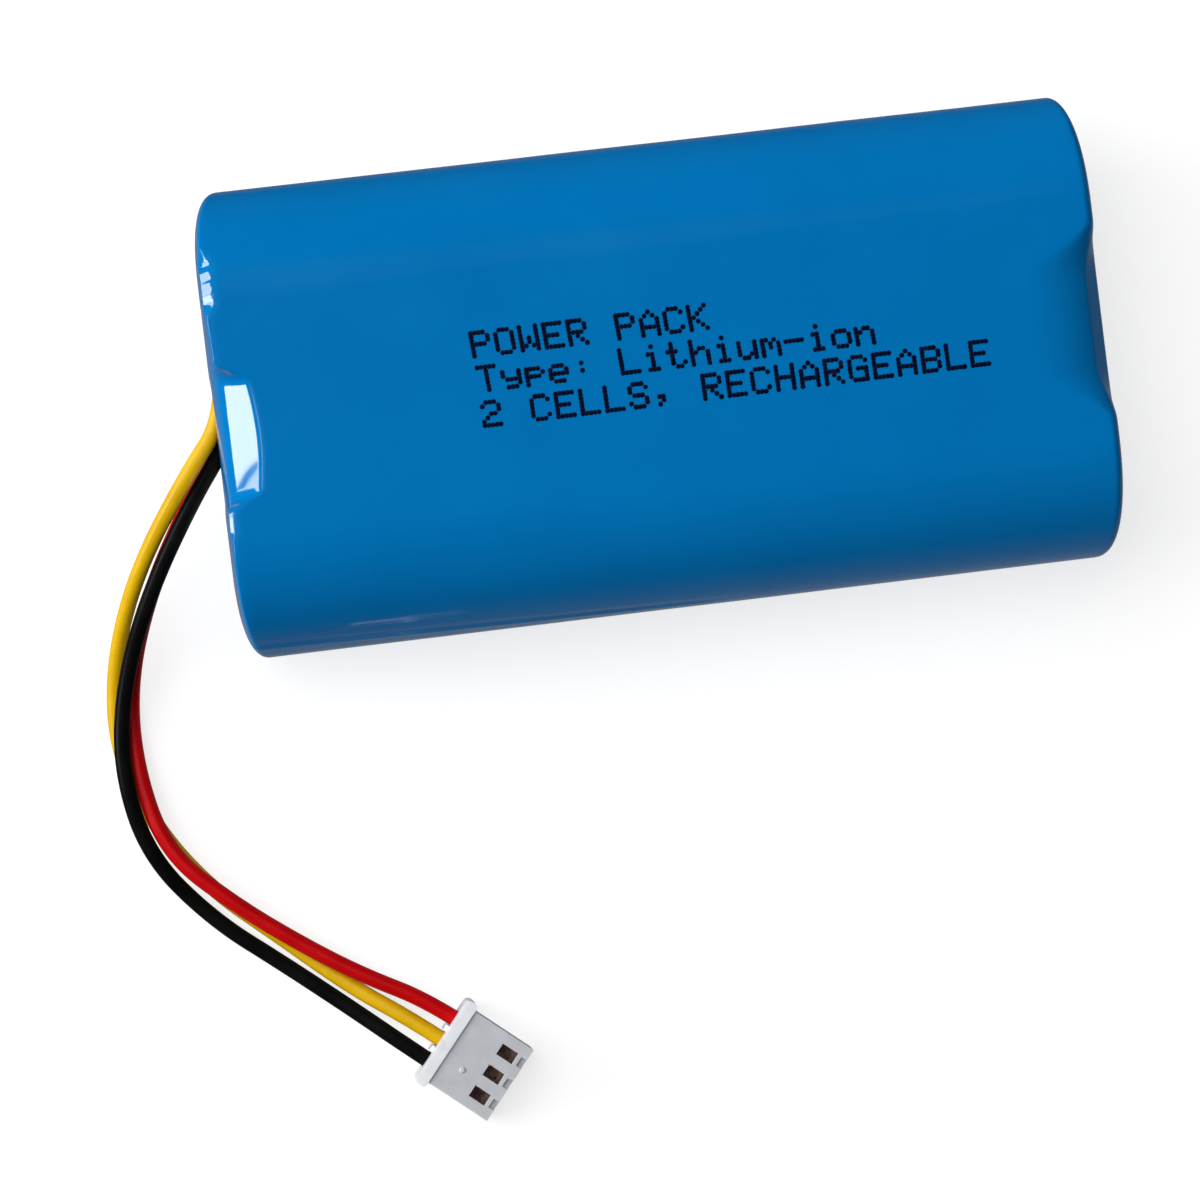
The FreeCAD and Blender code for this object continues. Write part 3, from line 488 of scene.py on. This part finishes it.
# Crease low along the -Y cell: its arc at the lead end and a run further on, where it
# has sunk, and the x at which it dies out. An arc is measured up round the cell from
# the pack's middle height.
CREASE_ARCS = (4.15, 2.1)
CREASE_RUN = 40
CREASE_WIDTH = 0.44
CREASE_HEIGHT = 0.16
CREASE_BALANCE = 0.12
CREASE_STOP = 6
CREASE_FADE = 8

# Faint ripples along the +Y cell towards the rear
RIPPLE_ARC = 3.0
RIPPLE_WIDTH = 1.4
RIPPLE_HEIGHT = 0.03
RIPPLE_PITCH = 4.0
RIPPLE_LIMITS = (10, 33, 4, 3)


def section():
    """(y of the spine, sideways and upward parts of the normal) once round the sleeve."""
    stations = []
    for index in range(WEB_STEPS):
        stations.append((mix(-SPINE, SPINE, index / WEB_STEPS), 0.0, 1.0))
    for index in range(LOBE_STEPS):
        turn = math.pi * (0.5 - index / LOBE_STEPS)
        stations.append((SPINE, math.cos(turn), math.sin(turn)))
    for index in range(WEB_STEPS):
        stations.append((mix(SPINE, -SPINE, index / WEB_STEPS), 0.0, -1.0))
    for index in range(LOBE_STEPS):
        turn = math.pi * (-0.5 - index / LOBE_STEPS)
        stations.append((-SPINE, math.cos(turn), math.sin(turn)))
    return stations


def mouth_inset(end, y, rise):
    """How far in the film's edge lies, a little uneven as cut film is."""
    place = (part * change for part, change in zip((y, rise, end), MOUTH_CHANGES))
    return MOUTH_INSET + MOUTH_WAVE * lumps(*place)


def side_share(end, side, sideways):
    """Share of the side fold at a place round a cell, which keeps its folds within the outline."""
    reached = 1 - SKIN_RADIUS * (1 - abs(sideways)) / SIDE_FOLDS[end, side][0]
    return 1 - math.sqrt(1 - max(reached, 0.0) ** 2)


def round_fold(end, y, sideways, rise, share):
    """Place along the plain fold round a cell."""
    side = 1 if y > 0 else -1
    lean = side_share(end, side, sideways)
    inset, reach, power = (mix(a, b, lean) for a, b in zip(FLAT_FOLDS[end], SIDE_FOLDS[end, side]))
    edge = mouth_inset(end, y, rise)
    turn = share * math.acos((1 - edge / inset) ** (power / 2))
    sink = inset * (1 - math.cos(turn) ** (2 / power))
    gap = reach * (1 - math.sin(turn) ** (2 / power))
    weight = facet_weight(end, y, sideways, rise)
    if weight > 0:
        flat = facet(side, sideways, edge, share)
        gap, sink = mix(gap, flat[0], weight), mix(sink, flat[1], weight)
    return gap + flare(end, y, sink), sink


def facet_weight(end, y, sideways, rise):
    """Share of the flat facets on top of the folds at the lead end."""
    if end > 0 or rise < 0:
        return 0.0
    if y > 0:
        beside_dip = ease((y - SPINE + FACET_FADE) / FACET_FADE)
        return beside_dip * ease((FACET_EDGE - sideways) / FACET_EDGE_FADE)
    return between(-y, LOWER_FACET_START, SPINE, *LOWER_FACET_FADES)


def facet(side, sideways, edge, share):
    """Place along the fold where the film lies flat before it turns down."""
    crumple = lumps(sideways * CRUMPLE_PITCH, *CRUMPLE_SEED)
    start, gap, sink = FACETS[side]
    knee = (gap, sink + CRUMPLE_SINK * crumple)
    if share < 0.5:
        return [mix(a, b, share * 2) for a, b in zip((start + CRUMPLE_GAP * crumple, 0.0), knee)]
    return bend(knee, FACET_HANDLE, (FACET_LIP_GAP, edge), share * 2 - 1)


def flare(end, y, sink):
    """How much further back the fold starts as it nears the dip at the lead end."""
    if end > 0:
        return 0.0
    inward = max(SPINE - abs(y), 0.0)
    return FLARE * inward * inward / (inward + FLARE_SOFTNESS) * (1 - ease(sink / FLARE_DEPTH))


def along(path, share):
    """Point on a path of (share, point) stations joined by straight runs."""
    for (start, first), (stop, last) in zip(path, path[1:]):
        if share <= stop:
            return [mix(a, b, (share - start) / (stop - start)) for a, b in zip(first, last)]


def lead_end_dip(y, rise, share):
    """Place along the flat ramp that dips between the cells at the lead end."""
    bow = (y - RAMP_MIDDLE) ** 2
    start = RAMP_START[0] - RAMP_START[1] * bow
    knee = (RAMP_KNEE_GAP[0] - RAMP_KNEE_GAP[1] * bow, RAMP_KNEE_SINK)
    slope = knee[1] / (start - knee[0])
    ramp = (start - RAMP_ROUNDING, RAMP_ROUNDING * slope)
    if share < RAMP_SHARE:
        return bend((start + RAMP_ROUNDING, 0.0), (start, 0.0), ramp, share / RAMP_SHARE)
    if share < 0.5:
        return along([(RAMP_SHARE, ramp), (0.5, knee)], share)
    return bend(knee, RAMP_HANDLE, (RAMP_LIP_GAP, mouth_inset(-1, y, rise)), share * 2 - 1)


def rear_end_dip(y, rise, share):
    """Place along the soft dip between the cells at the rear end."""
    if share < 0.5:
        return bend(HOLLOW_START, HOLLOW_HANDLE, HOLLOW_KNEE, share * 2)
    mouth = (HOLLOW_LIP_GAP, mouth_inset(1, y, rise))
    path = [(0.5, HOLLOW_KNEE), (HOLLOW_CHEEK_SHARE, HOLLOW_CHEEK), (1.0, mouth)]
    return along(path, share)


def fold_point(end, y, sideways, rise, share):
    """Place along the fold, which is plain round the cells and blends into the dip between them."""
    gap, sink = round_fold(end, y, sideways, rise, share)
    if abs(sideways) > 0:
        return gap, sink
    if end < 0:
        dip = lead_end_dip(y, rise, share)
        weight = between(y, *RAMP_LIMITS)
    else:
        dip = rear_end_dip(y, rise, share)
        weight = between(y, *HOLLOW_LIMITS)
    return mix(gap, dip[0], weight), mix(sink, dip[1], weight)


def film_relief(x, sideways, rise):
    """How far the film stands out of its even shape."""
    if abs(sideways) == 0:
        return 0.0
    arc = math.atan2(rise, abs(sideways)) * SKIN_RADIUS
    side = 1 if sideways > 0 else -1
    relief = LUMP_HEIGHT * lumps(x / LUMP_LENGTH, arc / LUMP_WIDTH, side * LUMP_SEED)
    if side < 0:
        across = (arc - mix(*CREASE_ARCS, (x + HALF_LENGTH) / CREASE_RUN)) / CREASE_WIDTH
        fade = ease((CREASE_STOP - x) / CREASE_FADE)
        relief -= CREASE_HEIGHT * (across - CREASE_BALANCE) * math.exp(-across * across) * fade
    else:
        band = math.exp(-(((arc - RIPPLE_ARC) / RIPPLE_WIDTH) ** 2)) * between(x, *RIPPLE_LIMITS)
        relief += RIPPLE_HEIGHT * band * math.sin(x * math.tau / RIPPLE_PITCH)
    return relief


def skin_point(end, station, gap, sink):
    """Point of the sleeve's outside from its place on a fold or on the straight body."""
    y, sideways, rise = station
    x = end * (HALF_LENGTH - gap)
    out = SKIN_RADIUS - sink
    calm = 1 - ease(sink / CALM_DEPTH)
    out += calm * film_relief(x, sideways, rise)
    return Vector((x, y + out * sideways, HALF_HEIGHT + out * rise))


def sleeve_line(station):
    """Points along the sleeve at one place of its section, from mouth to mouth."""
    y, sideways, rise = station
    folds = {}
    for end in (-1, 1):
        shares = [index / FOLD_STEPS for index in range(FOLD_STEPS + 1)]
        folds[end] = [fold_point(end, y, sideways, rise, share) for share in shares]
    line = [skin_point(-1, station, *pair) for pair in reversed(folds[-1])]
    start = -HALF_LENGTH + folds[-1][0][0]
    stop = HALF_LENGTH - folds[1][0][0]
    for index in range(1, BODY_STEPS):
        x = mix(start, stop, index / BODY_STEPS)
        line.append(skin_point(1, station, HALF_LENGTH - x, 0.0))
    line += [skin_point(1, station, *pair) for pair in folds[1]]
    return line


def make_sleeve():
    """Shrink sleeve, folded in over both ends of the pack, with its film's thickness."""
    shape = bmesh.new()
    lines = [[shape.verts.new(point * MM) for point in sleeve_line(station)] for station in section()]
    for first, second in zip(lines, lines[1:] + lines[:1]):
        for index in range(len(first) - 1):
            shape.faces.new((first[index], first[index + 1], second[index + 1], second[index]))
    skin = mesh_object("shrink_sleeve", shape)
    wall = skin.modifiers.new("film", "SOLIDIFY")
    wall.thickness = FILM * MM
    wall.offset = -1
    settle(skin, "sleeve_film")
    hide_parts("sleeve")


# ---------------------------------------------------------------- print

# Ink dots, whose rings are given as shares of their radius and of their height
DOT_RADIUS = 0.205
DOT_HEIGHT = 0.006
DOT_SIDES = 14
DOT_RINGS = ((0.7, 0.85), (1.0, 0.0))

# How much dots differ in radius and in their edges, and how fast that changes on the sleeve
DOT_SPREAD = 0.09
DOT_SPREAD_CHANGE = 3.1
DOT_SPREAD_SEED = 0.5
DOT_RAGGEDNESS = 0.05
DOT_RAGGED_CHANGE = 9
DOT_RAGGED_SEED = 3.0

# Pitch of the dots in a character, and how far the lines turn from the pack's length
COLUMN_PITCH = 0.315
ROW_PITCH = 0.298
PRINT_TILT = math.radians(0.3)

# Text, place of its first column's lowest dot, pitch of its characters, and its slant
PRINT_LINES = [
    ("POWER PACK", (-14.75, 2.78), 1.90, 0.065),
    ("Type: Lithium-ion", (-14.55, 0.06), 1.86, 0.065),
    ("2 CELLS, RECHARGEABLE", (-14.60, -2.70), 1.93, 0.02),
]

# Seven rows of five dots for each character
DOT_FONT = {
    "P": "####. #...# #...# ####. #.... #.... #....",
    "O": ".###. #...# #...# #...# #...# #...# .###.",
    "W": "#...# #...# #...# #.#.# #.#.# ##.## #...#",
    "E": "##### #.... #.... ####. #.... #.... #####",
    "R": "####. #...# #...# ####. #.#.. #..#. #...#",
    "A": "..#.. .#.#. #...# #...# ##### #...# #...#",
    "C": ".###. #...# #.... #.... #.... #...# .###.",
    "K": "#...# #..#. #.#.. ##... #.#.. #..#. #...#",
    "T": "##### ..#.. ..#.. ..#.. ..#.. ..#.. ..#..",
    "L": "#.... #.... #.... #.... #.... #.... #####",
    "S": ".###. #...# #.... .###. ....# #...# .###.",
    "H": "#...# #...# #...# ##### #...# #...# #...#",
    "G": ".###. #...# #.... #.### #...# #...# .####",
    "B": "####. #...# #...# ####. #...# #...# ####.",
    "2": ".###. #...# ....# ..##. .#... #.... #####",
    "y": "..... ..... #...# #...# .#### ....# .###.",
    "p": "..... ..... ####. #...# ####. #.... #....",
    "e": "..... ..... .###. #...# ##### #.... .###.",
    "i": "..#.. ..... .##.. ..#.. ..#.. ..#.. .###.",
    "t": ".#... .#... ###.. .#... .#... .#..# ..##.",
    "h": "#.... #.... #.##. ##..# #...# #...# #...#",
    "u": "..... ..... #...# #...# #...# #..## .##.#",
    "m": "..... ..... ##.#. #.#.# #.#.# #...# #...#",
    "o": "..... ..... .###. #...# #...# #...# .###.",
    "n": "..... ..... #.##. ##..# #...# #...# #...#",
    "-": "..... ..... ..... ##### ..... ..... .....",
    ":": "..... ..... ..#.. ..... ..#.. ..... .....",
    ",": "..... ..... ..... ..... .##.. ..#.. .#...",
    " ": "..... ..... ..... ..... ..... ..... .....",
}


def dot_places(text, start, pitch, lean):
    """Centre of each ink dot of one line of print."""
    places = []
    for position, character in enumerate(text):
        for row, dots in enumerate(reversed(DOT_FONT[character].split())):
            for column, dot in enumerate(dots):
                if dot == "#":
                    up = row * ROW_PITCH
                    right = position * pitch + column * COLUMN_PITCH - lean * up
                    x = start[0] + right * math.cos(PRINT_TILT)
                    y = start[1] + up + right * math.sin(PRINT_TILT)
                    places.append((x, y))
    return places


def dot_ring(shape, place, radius, height):
    """Slightly ragged ring of a dot's points at one height."""
    x, y = place
    ring = []
    for index in range(DOT_SIDES):
        turn = math.tau * index / DOT_SIDES
        right, up = math.cos(turn), math.sin(turn)
        change = DOT_RAGGED_CHANGE
        ragged = lumps(x * change + right, y * change + up, DOT_RAGGED_SEED)
        edge = radius * (1 + DOT_RAGGEDNESS * ragged)
        ring.append(shape.verts.new(from_mm((x + edge * right, y + edge * up, height))))
    return ring


def add_dot(shape, place):
    """Low domed dot of dried ink on the sleeve's top."""
    base = HALF_HEIGHT + SKIN_RADIUS
    x, y = place
    spread = lumps(x * DOT_SPREAD_CHANGE, y * DOT_SPREAD_CHANGE, DOT_SPREAD_SEED)
    radius = DOT_RADIUS * (1 + DOT_SPREAD * spread)
    top = shape.verts.new(from_mm((x, y, base + DOT_HEIGHT)))
    under = shape.verts.new(from_mm((x, y, base - DOT_HEIGHT)))
    inner, outer = (
        dot_ring(shape, place, radius * share, base + DOT_HEIGHT * height)
        for share, height in DOT_RINGS)
    for index in range(DOT_SIDES):
        following = (index + 1) % DOT_SIDES
        shape.faces.new((top, inner[index], inner[following]))
        shape.faces.new((inner[index], outer[index], outer[following], inner[following]))
        shape.faces.new((under, outer[following], outer[index]))


def make_print():
    """Three lines of dot-matrix print on the top of the sleeve."""
    shape = bmesh.new()
    for line in PRINT_LINES:
        for place in dot_places(*line):
            add_dot(shape, place)
    settle(mesh_object("print_marks", shape), "sleeve_film", "print_ink")


# ---------------------------------------------------------------- plug

# Corners nearer to each other than SAME_POINT are one
SAME_POINT = 0.002
BROKEN_EDGE = 0.09
BROKEN_EDGE_STEPS = 3
SHARP_EDGE = math.radians(40)
FLANGE_MARGIN = 0.05
FLAT_FACE_WEIGHT = 100


def forwards_of(place):
    """How far along its own frame a place on the plug lies."""
    x, y = place.x / MM - PLUG_PLACE[0], place.y / MM - PLUG_PLACE[1]
    return x * math.cos(PLUG_TURN) + y * math.sin(PLUG_TURN)


def make_plug():
    """Moulded plug housing with its sharp edges broken and its flange painted lighter, as painted light
    on the same nylon.
    """
    shape = bmesh.new()
    shape.from_mesh(NODES["plug_housing"].data)
    bmesh.ops.remove_doubles(shape, verts=shape.verts, dist=SAME_POINT * MM)
    bmesh.ops.dissolve_limit(
        shape, angle_limit=math.radians(1), verts=shape.verts, edges=shape.edges)
    housing = mesh_object("plug_shell", shape)
    edges = housing.modifiers.new("broken_edges", "BEVEL")
    edges.width = BROKEN_EDGE * MM
    edges.segments = BROKEN_EDGE_STEPS
    edges.limit_method = "ANGLE"
    edges.angle_limit = SHARP_EDGE
    facing = housing.modifiers.new("flat_faces", "WEIGHTED_NORMAL")
    facing.weight = FLAT_FACE_WEIGHT
    settle(housing, "plug_nylon")
    # The flange's faces take the lighter copy of the housing's nylon, which is painted light and not a
    # different plastic
    housing.data.materials.append(FINISHES["flange_nylon_painted_light"])
    for face in housing.data.polygons:
        if forwards_of(face.center) < FLANGE_THICKNESS + FLANGE_MARGIN:
            face.material_index = 1
    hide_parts("plug_housing")
    return housing


def declare_leads(housing):
    """Each lead stands for its packed tube and ends in its contact, in the plug."""
    for colour, lead in leads.items():
        settle(lead, "lead_" + colour)
        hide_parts("lead_" + colour)


# ---------------------------------------------------------------- stage

# How far the floor lies under the pack, and the point that the lights face
FLOOR_DROP = 0.02
LIGHT_AIM = (0, 0, 10)

# Metres, as the sizes of the lights are
FLOOR_HALF_WIDTH = 3
PANE_DISTANCE = 0.9
BOX_DISTANCE = 1.2

# Name, azimuth from +X towards +Y and elevation in degrees, size, and power in watts
PANES = [
    ("pane_left", 180.7, 20, (0.231, 0.28), 3.1),
    ("pane_right", 160.8, 20, (0.33, 0.28), 2.9),
    ("pane_high", 170, 55, (0.25, 0.12), 0.2),
]
SOFT_BOXES = [
    ("soft_back", 134, 61, (1.1, 1.1), 10.7),
    ("soft_left", 158, 62, (0.9, 0.9), 5.3),
    ("soft_right", 20, 50, (0.9, 0.9), 0.4),
]

# The surroundings are palest in this direction, and go from one strength to the other
# as a direction's part along it goes from one limit to the other
PALE_DIRECTION = (0, -0.4, -0.92)
PALE_RANGE = (0.45, 1.0)
WORLD_STRENGTHS = (0.015, 0.24)
WORLD_TONE = (0.9, 0.95, 1.0, 1)


def make_floor():
    """Plain pale floor, which the glossy film doesn't mirror."""
    shape = bmesh.new()
    bmesh.ops.create_grid(shape, x_segments=1, y_segments=1, size=FLOOR_HALF_WIDTH)
    floor = mesh_object("floor", shape)
    floor.location.z = -FLOOR_DROP * MM
    floor.visible_glossy = False
    paint(floor, "floor")


def make_light(name, azimuth, elevation, size, power, distance, mirrored):
    """Flat light that faces the pack from a distance, mirrored in gloss or not."""
    data = bpy.data.lights.new(name, "AREA")
    data.shape = "RECTANGLE"
    data.size, data.size_y = size
    data.energy = power
    turn, lift = math.radians(azimuth), math.radians(elevation)
    level = math.cos(lift)
    direction = Vector((math.cos(turn) * level, math.sin(turn) * level, math.sin(lift)))
    light = link(name, data)
    light.matrix_world = aimed(direction * distance, from_mm(LIGHT_AIM), Vector((0, 0, 1)))
    light.visible_glossy = mirrored


def make_lights():
    """Window panes that the glossy film mirrors, and broad soft boxes that it does not."""
    for pane in PANES:
        make_light(*pane, PANE_DISTANCE, mirrored=True)
    for box in SOFT_BOXES:
        make_light(*box, BOX_DISTANCE, mirrored=False)


def make_world():
    """Dim surroundings, paler towards the ground in front of the pack, and the plain view transform."""
    world = bpy.data.worlds.new("world")
    world.use_nodes = True
    tree = world.node_tree
    direction = tree.nodes.new("ShaderNodeTexCoord")
    lean = tree.nodes.new("ShaderNodeVectorMath")
    lean.operation = "DOT_PRODUCT"
    lean.inputs[1].default_value = PALE_DIRECTION
    fade = tree.nodes.new("ShaderNodeMapRange")
    fade.inputs["From Min"].default_value, fade.inputs["From Max"].default_value = PALE_RANGE
    fade.inputs["To Min"].default_value, fade.inputs["To Max"].default_value = WORLD_STRENGTHS
    background = tree.nodes["Background"]
    background.inputs["Color"].default_value = WORLD_TONE
    tree.links.new(direction.outputs["Generated"], lean.inputs[0])
    tree.links.new(lean.outputs["Value"], fade.inputs["Value"])
    tree.links.new(fade.outputs["Result"], background.inputs["Strength"])
    bpy.context.scene.world = world
    bpy.context.scene.view_settings.view_transform = "Standard"


paint_cad_nodes()
make_sleeve()
make_print()
declare_leads(make_plug())
make_floor()
make_lights()
make_world()
